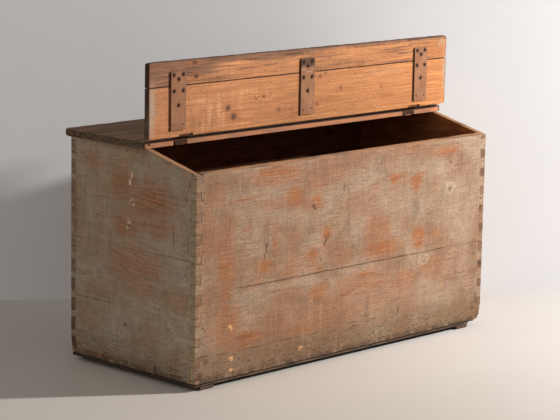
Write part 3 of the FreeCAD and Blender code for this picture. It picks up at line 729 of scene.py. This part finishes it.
def lidPine():
    look = lidLook
    material, root, place, axes, facing = startMaterial("lidPine")
    x, y, z = axes
    ragged = roughened(place, 0.02, 0.016)
    rear = ramp(z, lidJoint + 0.0004, lidJoint - 0.0002)  # 1 on the rear board, 0 on the front board
    fibres, rings = pineGrain(place, z + rear * 0.31, "x", 61.0)
    cloud = noiseOf(place, (0.16, 0.1, 0.06), 4.0, 17.0)
    streak = noiseOf(place, alongGrain("x", 0.16, 0.006), 4.0, 19.0)
    fleck = noiseOf(place, (0.0065, 0.0065, 0.0045), 3.0, 21.0)
    planeMarks = noiseOf(place, (0.011, 0.05, 0.09), 3.0, 37.0)  # across the grain
    colour = blend(ramp(cloud, 0.36, 0.66), look["wood"], look["paleWood"])
    colour = blend(ramp(x + cloud * 0.4, -0.5, 0.7) * (rear * 0.25 + 0.65), colour, look["goldWood"])
    colour = blend(ramp(rings, 0.55, 1.0) * 0.25, colour, look["ring"])
    colour = blend(markMask(ragged, look["reddish"], "y", 0.1) * 0.7, colour, look["ring"])
    pale = markMask(roughened(place, 0.012, 0.008), look["pale"], "y", 0.1)
    colour = blend(pale * 0.75, colour, look["bar"])
    lift = planeMarks * ramp(x, 0.05, -0.35) * 0.8 + x * 0.25
    lift = lift + ramp(z, lidJoint - 0.10, lidJoint - 0.14) * 0.08
    colour = shaded(colour, fibres * 0.65 + fleck * 1.2 + lift + cloud * 1.3 - 0.64)
    browned = ramp(streak + cloud, 0.84, 1.20) * 0.7
    colour = blend(browned, colour, look["ring"])
    weather = markMask(ragged, look["weather"], "y", 0.3) * (1 - rear)
    weather = clamped(weather * ramp(streak, 0.24, 0.46) * 1.7 + (1 - rear) * ramp(streak, 0.52, 0.66) * 0.9)
    weather = clamped(weather + ramp(z, lidTop - 0.009, lidTop - 0.002) * 0.5)
    colour = blend(weather * 0.9, colour, look["grey"])
    rubbed = markMask(ragged, look["rubbed"], "y", 0.2) * ramp(streak + fleck, 0.7, 1.1)
    colour = blend(rubbed, colour, look["rub"])
    halos = [
        (across, up, wide * 2.4, high * 1.8, strength)
        for across, up, wide, high, strength in look["knots"]
    ]
    halo = markMask(ragged, halos, "y", 0.2)
    knots = markMask(roughened(place, 0.010, 0.004), look["knots"], "y", 0.15)
    colour = blend(halo * 0.8, colour, look["ring"])
    colour = blend(knots * (1.4 - fleck * 0.5), colour, look["dirt"])
    cracks = noiseOf(place, alongGrain("x", 0.14, 0.0030), 3.0, 23.0)
    cracks = ramp(cracks, 0.53, 0.62) * clamped(weather * 1.3 + 0.15)
    colour = blend(cracks * 0.9, colour, look["dirt"])
    dust = ramp(noiseOf(place, (0.0075, 0.0075, 0.0055), 2.0, 29.0), 0.65, 0.72)
    colour = blend(dust * 0.6, colour, look["dirt"])
    colour = blend(boardJoints(place, x, z, look["joints"]), colour, look["dirt"])

    outside = paintedSkin(y, lidOuter, "lidTo")
    skin, skinRelief = paintColour(place, axes, lidSkin, "y")[:2]
    colour = blend(outside, colour, skin)
    capped = ramp(abs(facing[0]), 0.6, 0.85)
    cap = noiseOf(place, (0.02, 0.02, 0.02), 3.0, 31.0)
    ends = blend(ramp(z, lidJoint - 0.02, lidJoint - 0.12), look["endPaint"], look["lowEndPaint"])
    colour = blend(ramp(abs(x), lidHalf - 0.006, lidHalf - 0.001) * 0.7, colour, look["dirt"])
    colour = blend(capped, colour, shaded(ends, cap * 1.4 + 0.3))
    edge = ramp(facing[2], 0.5, 0.85)
    colour = blend(edge * 0.9, colour, look["topEdge"])
    relief = fibres * 0.6 + rings * 0.25 + fleck * 0.5 - cracks * 1.6 - knots * 0.3 - dust * 0.6
    finishMaterial(root, colour, 0.62 + weather * 0.2, relief + skinRelief * outside * 0.3, 0.5)
    return material


# battens: bare pine gone grey, stained round the nails

battenSides = ("left", "middle", "right")
battenLook = {
    "wood": (0.34, 0.145, 0.066),
    "paleWood": (0.42, 0.185, 0.086),
    "grey": (0.19, 0.098, 0.058),
    "scrape": (0.50, 0.31, 0.20),
    # also the painted shade on the battens' left side faces
    "dirt": (0.045, 0.020, 0.012),
    "patchLow": 822,
    "stainWidth": 13,
    "smallNail": 8 * mm,      # the nails under this width leave smaller stains
    "rim": (0.020, 0.0285),   # the greyed edge, from the batten's middle
    "scrapes": [(-20, 812, 14, 3, 0.8), (4, 806, 18, 3, 0.7), (12, 815, 10, 2.5, 0.6)],
}


def nailIslands(node):
    # the box of each separate solid in a node
    mesh = bmesh.new()
    mesh.from_mesh(frame["nodes"][node].data)
    bmesh.ops.remove_doubles(mesh, verts=mesh.verts, dist=weld)
    left = set(mesh.verts)
    boxes = []
    while left:
        group = [left.pop()]
        for vert in group:
            for link in vert.link_edges:
                other = link.other_vert(vert)
                if other in left:
                    left.remove(other)
                    group.append(other)
        low = Vector([min(point.co[i] for point in group) for i in range(3)])
        high = Vector([max(point.co[i] for point in group) for i in range(3)])
        boxes.append((low, high))
    mesh.free()
    return sorted(boxes, key=lambda pair: (round(pair[0].z, 4), pair[0].x))


def battenPine(name):
    look = battenLook
    material, root, place, axes, facing = startMaterial(name + "BattenPine")
    x, _, z = axes
    low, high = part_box(name + "_batten")
    shift = 71.0 + low.x * 10
    fibres, rings = pineGrain(place, x, "z", shift)
    cloud = noiseOf(place, (0.03, 0.03, 0.07), 4.0, shift)
    colour = blend(ramp(cloud, 0.40, 0.66), look["wood"], look["paleWood"])
    fleck = noiseOf(place, (0.009, 0.009, 0.008), 3.0, shift + 2)
    colour = blend(ramp(fibres, 0.48, 0.68) * 0.5, colour, look["grey"])
    colour = shaded(colour, fibres * 0.4 + rings * 0.06 + fleck * 0.5 + 0.52)
    rim = larger(ramp(abs(x - (low.x + high.x) / 2), *look["rim"]), ramp(z, high.z - 0.010, high.z))
    colour = blend(rim * 0.4, colour, look["grey"])
    stains = []
    for nailLow, nailHigh in nailIslands(name + "_batten_nails"):
        across, up = (nailLow.x + nailHigh.x) / 2 / mm, (nailLow.z + nailHigh.z) / 2 / mm
        wide = look["stainWidth"] if nailHigh.x - nailLow.x > look["smallNail"] else look["stainWidth"] / 3
        stains.append((across, up, wide, wide * 0.9, 0.85))
    stain = markMask(roughened(place, 0.012, 0.008), stains, "y", 0.1)
    colour = blend(stain * 0.85, colour, look["dirt"])
    if name == "middle":
        wobble = z + noiseOf(place, (0.02, 0.02, 0.02), 3.0, 5.0) * 0.012
        scrapes = markMask(roughened(place, 0.01, 0.006), look["scrapes"], "y", 0.2)
        colour = blend(scrapes, colour, look["scrape"])
        patch = ramp(wobble, look["patchLow"] * mm, (look["patchLow"] + 8) * mm)
        colour = blend(patch * (0.95 - fleck * 0.4), colour, look["dirt"])
    # painted shade: the left side faces, which face away from the key light, are darkened
    side = ramp(-facing[0], 0.5, 0.85)
    colour = blend(side * 0.9, colour, look["dirt"])
    grit = ramp(noiseOf(place, (0.005, 0.005, 0.006), 2.0, shift), 0.66, 0.72)
    colour = blend(grit * 0.6, colour, look["dirt"])
    relief = fibres * 0.7 + fleck * 0.5 + rings * 0.2 - grit * 0.6
    finishMaterial(root, colour, 0.74 + stain * 0.05, relief, 0.5)
    return material


# the fixed top board: weathered above, bare pine on its front edge

topLook = {
    "wood": (0.50, 0.280, 0.165),
    "dark": (0.26, 0.138, 0.082),
    "bare": (0.57, 0.226, 0.100),
    "grey": (0.42, 0.186, 0.098),
    "dirt": (0.070, 0.036, 0.022),
    "paintedLidShadow": (0.050, 0.021, 0.012),
    "paintedLidShadowFrom": 650 * mm,     # painted shadow of the lid's lower edge, along the top of the front edge, under the hinges
    "endWood": (0.17, 0.112, 0.070),
    "nailSpot": [(-590, 648, 10, 6, 0.9)],
}


def topPine():
    look = topLook
    material, root, place, axes, facing = startMaterial("topPine")
    _, y, z = axes
    fibres, rings = pineGrain(place, y, "x", 83.0)
    cloud = noiseOf(place, (0.20, 0.09, 0.1), 4.0, 83.0)
    streak = noiseOf(place, alongGrain("x", 0.25, 0.009), 4.0, 85.0)
    fleck = noiseOf(place, (0.012, 0.012, 0.008), 4.0, 84.0)
    colour = blend(ramp(cloud + streak, 0.82, 1.18), look["wood"], look["dark"])
    colour = blend(ramp(rings, 0.55, 1.0) * 0.35, colour, look["dark"])
    colour = shaded(colour, fibres * 0.7 + fleck * 0.5 + 0.40)
    endFace = ramp(abs(facing[0]), 0.45, 0.75)
    worn = blend(ramp(fleck, 0.36, 0.62), look["dirt"], look["endWood"])
    colour = blend(endFace, colour, worn)
    front = ramp(-facing[1], 0.55, 0.85)
    bare, bareRelief = bareColour(place, z, look["bare"], look["grey"], "x", 87.0)
    bare = blend(markMask(place, look["nailSpot"], "y", 0.4), bare, look["dirt"])
    # painted shadow of the lid along the top of the front edge
    bare = blend(ramp(z, look["paintedLidShadowFrom"] - mm, look["paintedLidShadowFrom"] + mm), bare, look["paintedLidShadow"])
    colour = blend(front, colour, bare)
    colour = blend(ramp(streak, 0.66, 0.72) * 0.5, colour, look["dirt"])
    under = ramp(-facing[2], 0.6, 0.9)
    inner = bareColour(place, y, insidePine["wood"], insidePine["dark"], "x", 89.0)[0]
    colour = blend(under, colour, inner)
    relief = fibres * 0.9 + rings * 0.3 + fleck * 0.6 + bareRelief * 0.2
    finishMaterial(root, colour, 0.76 - front * 0.06, relief, 0.55)
    return material


# bottom boards and runners: dark and dirty

underLook = {
    "wood": (0.11, 0.063, 0.040),
    "dark": (0.050, 0.028, 0.019),
    "edge": {"bottom": (0.21, 0.130, 0.080), "runner": (0.125, 0.075, 0.050)},
    "paintedShade": (0.016, 0.010, 0.008),
    "unshadedFrom": 13.2 * mm,   # painted shade on the bottom's edge, under the wall's overhang and along its lower edge over the gap, but for a strip along its middle
    "unshadedTo": 16.6 * mm,
}


def underPine(kind, grain, shift):
    look = underLook
    material, root, place, axes, facing = startMaterial(kind + "Pine")
    x, y, z = axes
    colour, relief = bareColour(place, x if grain == "y" else y, look["wood"], look["dark"], grain, shift)
    worn = noiseOf(place, (0.05, 0.05, 0.02), 4.0, shift)
    lit = ramp(-facing[1] - facing[0] * 0.5, 0.5, 0.9) * ramp(worn, 0.46, 0.60)
    colour = blend(lit * 0.7, colour, look["edge"][kind])
    if kind == "bottom":
        # painted shade above and below the unshaded strip
        upper = ramp(z, look["unshadedTo"], look["unshadedTo"] + mm)
        lower = ramp(z, look["unshadedFrom"], look["unshadedFrom"] - mm)
        colour = blend(larger(upper, lower), colour, look["paintedShade"])
    inner = ramp(facing[2], 0.6, 0.9)
    floorBoards, floorRelief = bareColour(place, y, insidePine["wood"], insidePine["dark"], grain, shift + 2)
    colour = blend(inner, colour, floorBoards)
    finishMaterial(root, colour, worn * 0.2 + 0.66, relief + floorRelief * 0.2, 0.4)
    return material


# iron: rust over dark scale

ironLook = {"scale": (0.048, 0.025, 0.017), "rust": (0.135, 0.046, 0.024), "brightRust": (0.22, 0.080, 0.036)}


def oldIron(name, rusty, shift):
    look = ironLook
    material, root, place, _, _ = startMaterial(name)
    cloud = noiseOf(place, (0.011, 0.011, 0.011), 5.0, shift)
    pits = noiseOf(place, (0.0021, 0.0021, 0.0021), 3.0, shift)
    rust = ramp(cloud, 0.62 - rusty * 0.26, 0.74 - rusty * 0.16)
    colour = blend(rust, look["scale"], look["rust"])
    colour = blend(ramp(pits, 0.56, 0.72) * rusty, colour, look["brightRust"])
    colour = shaded(colour, pits * 0.9 + 0.5)
    finishMaterial(root, colour, 0.72 + rust * 0.2, pits * 0.7 + cloud * 0.5, 0.6, 0.1)
    return material


materials = {
    "front": paintedWall("frontPaint", frontPaint, frontFace, joint["frontTails"], frontTop - caseFoot),
    "back": paintedWall("backPaint", backPaint, backFace, joint["backTails"], rearTop - caseFoot),
    "left_end": paintedEnd("leftEndPaint", leftEndPaint, -1),
    "right_end": paintedEnd("rightEndPaint", rightEndPaint, 1),
    "lid": lidPine(),
    **{side + "_batten": battenPine(side) for side in battenSides},
    "top": topPine(),
    "bottom": underPine("bottom", "x", 91.0),
    "runner": underPine("runner", "y", 97.0),
    "hinge": oldIron("hingeIron", 0.8, 3.0),
    "nail": oldIron("nailIron", 0.35, 7.0),
}
print("materials made:", len(materials))


# boards with worn edges, made from the frame's boards

wear = {
    "slice": 15 * mm,          # how often a board's edges are divided, to be worn unevenly
    "shortestEdge": 45 * mm,   # dovetails and nail holes stay sharp
    "sharp": math.radians(28),
    "flat": 0.02,
    "shadeSharp": math.radians(50),
    "lidCorner": 12 * mm,
    "dentLength": 26 * mm,
    "dentFrom": 0.05,
    "nickScale": 2.7,          # nicks are this much finer than dents
    "nickFrom": 0.25,
    "chipWaver": 6 * mm,
    "jointReach": 1.5 * mm,
    "shut": 0.01,
    "openFrom": -440 * mm,     # where the front joint has opened
    "openTo": 400 * mm,
    "open": 0.55,
    "openWaver": 0.9,
    "waverLength": 85 * mm,
    "seedStep": 1.7,           # sets each board's wear apart from the next one's
}


def sliced(mesh, axis, low, high, extra):
    places = [low + wear["slice"] * i for i in range(1, int((high - low) / wear["slice"]))]
    normal = Vector((0, 0, 0))
    normal[axis] = 1
    for place in places + extra:
        geometry = mesh.verts[:] + mesh.edges[:] + mesh.faces[:]
        bmesh.ops.bisect_plane(mesh, geom=geometry, dist=onCut, plane_co=normal * place, plane_no=normal)


def atCorner(vert):  # on one of the case's four upright corners
    return abs(vert.co.x) > caseHalf - touch and not frontFace + touch < vert.co.y < backFace - touch


def atJoint(vert):  # on the edge where one board of a wall or an end meets the next
    return any(abs(vert.co.z - height) < wear["jointReach"] for height in wallJoints)


def atLidCorner(vert, reach):  # at one of the lid's upper corners
    return abs(vert.co.x) > lidHalf - reach - touch and vert.co.z > lidTop - reach - touch


def roundLid(mesh):
    corners = [edge for edge in mesh.edges if all(atLidCorner(vert, 0) for vert in edge.verts)]
    bmesh.ops.bevel(
        mesh, geom=corners, offset=wear["lidCorner"], offset_type="OFFSET", segments=4,
        profile=0.5, affect="EDGES",
    )


def wornEdges(mesh):
    chosen = []
    for edge in mesh.edges:
        if len(edge.link_faces) == 2 and edge.calc_face_angle_signed(0) > wear["sharp"]:
            long = edge.calc_length() > wear["shortestEdge"] and not all(atJoint(vert) for vert in edge.verts)
            rounded = all(atLidCorner(vert, wear["lidCorner"]) for vert in edge.verts)
            if long or rounded or all(atCorner(vert) for vert in edge.verts):
                chosen.append(edge)
    return chosen


def board(grain, material, rounding, dents, *chips):
    # chips: a corner of the board's box, the height over it and the radius in mm,
    # then the way and how far in mm they are pushed in
    axis = "xyz".index(grain)
    return {"grain": axis, "material": material, "round": rounding, "dents": dents, "chips": chips}


boardLooks = {
    "front_upper_board": board("x", "front", 1.4, 1.5),
    "front_lower_board": board(
        "x", "front", 1.4, 1.6,
        ((0, 0, 0), 5, 26, (0.5, 0.8, 0.3), 5),
        ((1, 0, 0), 0, 22, (-0.7, 0.5, 0.6), 6),
    ),
    "back_lower_board": board("x", "back", 1.2, 1.2, ((0, 1, 0), 9, 30, (0.5, -0.6, 0.5), 7)),
    "back_middle_board": board("x", "back", 0.8, 0.6),
    "back_upper_board": board("x", "back", 0.8, 0.6),
    "left_end_lower_board": board(
        "y", "left_end", 1.2, 1.4,
        ((0, 1, 0), 9, 34, (0.5, -0.6, 0.5), 9),
        ((0, 0, 0), 3, 20, (0.7, 0.5, 0.3), 4),
    ),
    "left_end_middle_board": board("y", "left_end", 0.9, 1.0),
    "left_end_upper_board": board("y", "left_end", 1.1, 1.2),
    "right_end_lower_board": board("y", "right_end", 1.2, 1.4, ((1, 0, 0), 0, 24, (-0.6, 0.7, 0.5), 9)),
    "right_end_middle_board": board("y", "right_end", 0.9, 1.0),
    "right_end_upper_board": board("y", "right_end", 1.1, 1.2),
    "bottom_front_board": board("x", "bottom", 1.0, 1.2, ((1, 0, 0.5), 0, 48, (-0.2, 1.0, 0.0), 24)),
    "bottom_middle_board": board("x", "bottom", 0.8, 0.8),
    "bottom_rear_board": board("x", "bottom", 1.0, 1.2),
    **{side + "_runner": board("y", "runner", 1.2, 1.4) for side in ("left", "right")},
    "top_board": board("x", "top", 1.2, 1.4),
    "lid_rear_board": board("x", "lid", 1.0, 1.0, ((1, 0.5, 0), 4, 18, (-0.6, 0.0, 0.6), 4)),
    "lid_front_board": board("x", "lid", 1.6, 1.8, ((1, 0.5, 0), 0, 12, (-0.5, 0.0, 0.5), 3)),
    **{side + "_batten": board("z", side + "_batten", 1.3, 1.0) for side in battenSides},
}


def pieceFrom(mesh, name, node, material):
    data = bpy.data.meshes.new(name)
    mesh.to_mesh(data)
    mesh.free()
    data.materials.append(material)
    piece = bpy.data.objects.new(name, data)
    bpy.context.scene.collection.objects.link(piece)
    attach(piece, frame["nodes"][node]["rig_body"])
    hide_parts(node)
    return piece


def closeJoints(mesh):
    # joints have stayed shut, but for the middle of the front one
    for vert in mesh.verts:
        for height in wallJoints:
            above = vert.co.z - height
            if 0 < above < wear["jointReach"]:
                share = wear["shut"]
                if height == frontJoint and wear["openFrom"] < vert.co.x < wear["openTo"]:
                    share = wear["open"] + wear["openWaver"] * noise.noise(vert.co / wear["waverLength"])
                vert.co.z = height + above * min(1.0, max(share, wear["shut"]))


def chipPlace(low, high, corner, lift):  # to the nearest mm
    x, y, z = (round((low[i] + (high[i] - low[i]) * corner[i]) / mm) for i in range(3))
    return Vector((x, y, z + lift)) * mm


def wearDown(mesh, dents, chips, seed):
    worn = {vert for face in mesh.faces if face.material_index == 1 for vert in face.verts}
    mesh.normal_update()
    moves = {}
    for vert in worn:
        spot = vert.co / wear["dentLength"] + Vector((seed, seed, seed))
        dent = max(0.0, noise.noise(spot) - wear["dentFrom"])
        nick = max(0.0, noise.noise(spot * wear["nickScale"]) - wear["nickFrom"])
        moves[vert] = vert.normal * ((dent + nick) * dents * mm)
    for vert, move in moves.items():
        vert.co -= move
    for place, radius, direction, depth in chips:
        for vert in mesh.verts:
            near = 1 - (vert.co - place).length / (radius * mm)
            if near > 0:
                ragged = 0.75 + 0.5 * noise.noise(vert.co / wear["chipWaver"])
                vert.co += Vector(direction) * (depth * mm * min(1.0, near * 2) * ragged)
    for face in mesh.faces:
        face.material_index = 0


def wornBoard(node, look, seed):
    mesh = bmesh.new()
    mesh.from_mesh(frame["nodes"][node].data)
    bmesh.ops.remove_doubles(mesh, verts=mesh.verts, dist=weld)
    bmesh.ops.dissolve_limit(mesh, angle_limit=wear["flat"], verts=mesh.verts, edges=mesh.edges)
    low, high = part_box(node)
    roundLid(mesh)
    bmesh.ops.bevel(
        mesh, geom=wornEdges(mesh), offset=look["round"] * mm, offset_type="OFFSET", segments=2,
        profile=0.5, affect="EDGES", clamp_overlap=False, material=1,
    )
    axis = look["grain"]
    chips = [(chipPlace(low, high, corner, lift), *chip) for corner, lift, *chip in look["chips"]]
    sliced(mesh, axis, low[axis], high[axis], [chip[0][axis] for chip in chips])
    wearDown(mesh, look["dents"], chips, seed)
    closeJoints(mesh)
    piece = pieceFrom(mesh, node + "_worn", node, materials[look["material"]])
    piece.data.shade_smooth()
    piece.data.set_sharp_from_angle(angle=wear["shadeSharp"])
    piece.modifiers.new("evenShading", "WEIGHTED_NORMAL").keep_sharp = True


for index, (node, look) in enumerate(boardLooks.items()):
    wornBoard(node, look, index * wear["seedStep"])
print("worn boards made:", len(boardLooks))


# forged nails, each hammered a little differently

nailLook = {
    "sides": 9,
    "shankWidth": 3 * mm,
    "shankDepth": 9 * mm,
    "proud": 2.6 * mm,        # how far a head stands out
    "smallProud": 0.8 * mm,
    "smallHalf": 4 * mm,      # heads with a smaller radius are the small ones
    "unevenness": 0.16,
    "seedStep": 0.83,
    "head": [(1.0, -0.25), (1.0, 0.12), (0.66, 0.72), (0.28, 1.0)],  # shares of the radius and of the rise
}


def hammeredHead(mesh, low, high, seed):
    look = nailLook
    sides = look["sides"]
    centre = Vector(((low.x + high.x) / 2, 0, (low.z + high.z) / 2))
    half = (high.x - low.x) / 2
    seat = low.y + (look["proud"] if half > look["smallHalf"] else look["smallProud"])
    proud = seat - low.y
    shank = look["shankWidth"] / 2 / half
    levels = [(shank, -look["shankDepth"] / proud), (shank, look["head"][0][1])] + look["head"]
    rings = []
    for level, (share, rise) in enumerate(levels):
        ring = []
        for i in range(sides):
            turn = 2 * math.pi * i / sides + seed
            uneven = 1 + look["unevenness"] * noise.noise(Vector((seed * 3 + i, level * 2.0, seed)))
            radius = half * share * (uneven if level > 1 else 1)
            side = Vector((math.cos(turn) * radius, seat - rise * proud, math.sin(turn) * radius))
            ring.append(mesh.verts.new(centre + side))
        rings.append(ring)
    for lower, upper in zip(rings, rings[1:]):
        for i in range(sides):
            mesh.faces.new((lower[i - 1], lower[i], upper[i], upper[i - 1]))
    mesh.faces.new(rings[0])
    mesh.faces.new(list(reversed(rings[-1])))


for side in battenSides:
    nodeName = side + "_batten_nails"
    nailMesh = bmesh.new()
    for index, (low, high) in enumerate(nailIslands(nodeName)):
        hammeredHead(nailMesh, low, high, index * nailLook["seedStep"] + len(side))
    bmesh.ops.recalc_face_normals(nailMesh, faces=nailMesh.faces)
    pieceFrom(nailMesh, nodeName + "_hammered", nodeName, materials["nail"])
print("batten nails made")


# iron that keeps its own shape

def giveMaterial(name, material):
    data = frame["nodes"][name].data
    data.materials.clear()
    data.materials.append(material)


ironNodes = {
    "hinge": [
        side + "_hinge_" + part
        for side in ("left", "right") for part in ("fixed_leaf", "lid_leaf", "pin")
    ],
    "nail": ["fixed_leaf_screws", "lid_leaf_screws", "top_board_nails", "bottom_nails", "runner_nails"],
}
for kind, names in ironNodes.items():
    for name in names:
        giveMaterial(name, materials[kind])
print("hinges and screws dressed")


# floor and wall

stageLook = {
    "floor": (0.90, 0.835, 0.775),
    # painted shade: the floor's colour darkens towards the left
    "floorLeft": (0.83, 0.745, 0.655),
    "wall": (0.83, 0.82, 0.83),
    # painted light: the wall's colour lightens towards the left, against the key lamp's fall-off
    "wallLeft": (0.98, 0.97, 0.97),
    "floorSpan": (-0.5, 0.6),   # from the left colour to the other, along X
    "wallSpan": (0.5, 1.2),
    "wallDistance": 0.615,
    "wallDirection": Vector((0.587, 0.8097, 0.0)),
    "wallHalf": 9.0,
    "wallHeight": 5.0,
    "floorHalf": 14.0,
}


def stageSurface(name, corners, material):
    mesh = bpy.data.meshes.new(name)
    mesh.from_pydata(corners, [], [(0, 1, 2, 3)])
    mesh.materials.append(material)
    surface = bpy.data.objects.new(name, mesh)
    bpy.context.scene.collection.objects.link(surface)
    return surface


def plainSurface(surface, seenFromBehind):
    look = stageLook
    material, root, place, axes, _ = startMaterial(surface + "Paint")
    mottle = noiseOf(place, (0.35, 0.35, 0.35), 3.0, 2.0)
    # painted shade on the floor and painted light on the wall, graded along X
    tone = blend(ramp(axes[0], *look[surface + "Span"]), look[surface + "Left"], look[surface])
    tone = shaded(tone, mottle * 0.06 + 0.97)
    inputs = {"Base Color": tone, "Roughness": 0.7, "Specular IOR Level": 0.2}
    shader = root.add("ShaderNodeBsdfPrincipled", {}, inputs)
    if not seenFromBehind:
        behind = root.add("ShaderNodeNewGeometry", {}, {}, "Backfacing")
        clear = root.add("ShaderNodeBsdfTransparent", {}, {})
        shader = root.add("ShaderNodeMixShader", {}, {0: behind, 1: shader, 2: clear})
    root.add("ShaderNodeOutputMaterial", {}, {"Surface": shader})
    return material


def makeStage():
    look = stageLook
    half = look["floorHalf"]
    floorCorners = [(-half, -half, 0), (half, -half, 0), (half, half, 0), (-half, half, 0)]
    stageSurface("floor", floorCorners, plainSurface("floor", True))
    away = look["wallDirection"]
    along = Vector((away.y, -away.x, 0)) * look["wallHalf"]
    foot = away * look["wallDistance"]
    rise = Vector((0, 0, look["wallHeight"]))
    wallCorners = [foot - along, foot + along, foot + along + rise, foot - along + rise]
    wall = stageSurface("wall", wallCorners, plainSurface("wall", False))
    wall.visible_diffuse = False  # only a backdrop: it neither lights nor shades the trunk
    wall.visible_glossy = False
    wall.visible_shadow = False


makeStage()


# lights

lightLook = {
    "keyPlace": Vector((2.80, -2.66, 2.03)),
    "aim": Vector((0.0, -0.1, 0.4)),
    "keySize": 0.22,
    "keyPower": 193.0,
    "fillPlace": Vector((-4.2, 0.4, 1.3)),
    "fillSize": 2.4,
    "fillPower": 12.5,
    "ambient": 0.215,
}


def addLamp(name, place, size, power):
    data = bpy.data.lights.new(name, "AREA")
    data.shape = "DISK"
    data.size = size
    data.energy = power
    lamp = bpy.data.objects.new(name, data)
    lamp.location = place
    lamp.rotation_mode = "QUATERNION"
    lamp.rotation_quaternion = (lightLook["aim"] - place).to_track_quat("-Z", "Y")
    bpy.context.scene.collection.objects.link(lamp)


def makeLights():
    look = lightLook
    addLamp("key", look["keyPlace"], look["keySize"], look["keyPower"])
    addLamp("fill", look["fillPlace"], look["fillSize"], look["fillPower"])
    world = bpy.data.worlds.new("ambient")
    bpy.context.scene.world = world
    world.use_nodes = True
    background = world.node_tree.nodes["Background"]
    background.inputs["Color"].default_value = (1.0, 1.0, 1.0, 1.0)
    background.inputs["Strength"].default_value = look["ambient"]


makeLights()
print("stage and lights made")


# camera at the photograph's view

cameraLook = {
    "azimuth": math.radians(-45.81),
    "elevation": math.radians(10.33),
    "roll": math.radians(1.03),
    "distance": 6.489,
    "target": Vector((-0.0224, -0.0125, 0.3948)),
    "lens": 143.6,
    "sensor": 36.0,
}


def makeCamera():
    look = cameraLook
    azimuth, elevation, roll = look["azimuth"], look["elevation"], look["roll"]
    level = math.cos(elevation)
    back = Vector((math.sin(azimuth) * level, -math.cos(azimuth) * level, math.sin(elevation)))
    right = Vector((math.cos(azimuth), math.sin(azimuth), 0))
    up = back.cross(right)
    tiltedRight = right * math.cos(roll) + up * math.sin(roll)
    tiltedUp = up * math.cos(roll) - right * math.sin(roll)
    data = bpy.data.cameras.new("camera")
    data.lens = look["lens"]
    data.sensor_width = look["sensor"]
    data.sensor_fit = "HORIZONTAL"
    data.clip_end = 100.0
    camera = bpy.data.objects.new("camera", data)
    turned = Matrix((tiltedRight, tiltedUp, back)).transposed().to_4x4()
    camera.matrix_world = Matrix.Translation(look["target"] + back * look["distance"]) @ turned
    bpy.context.scene.collection.objects.link(camera)
    bpy.context.scene.camera = camera


makeCamera()
bpy.context.scene.view_settings.view_transform = "Standard"
print("camera made")

bpy.context.view_layer.update()
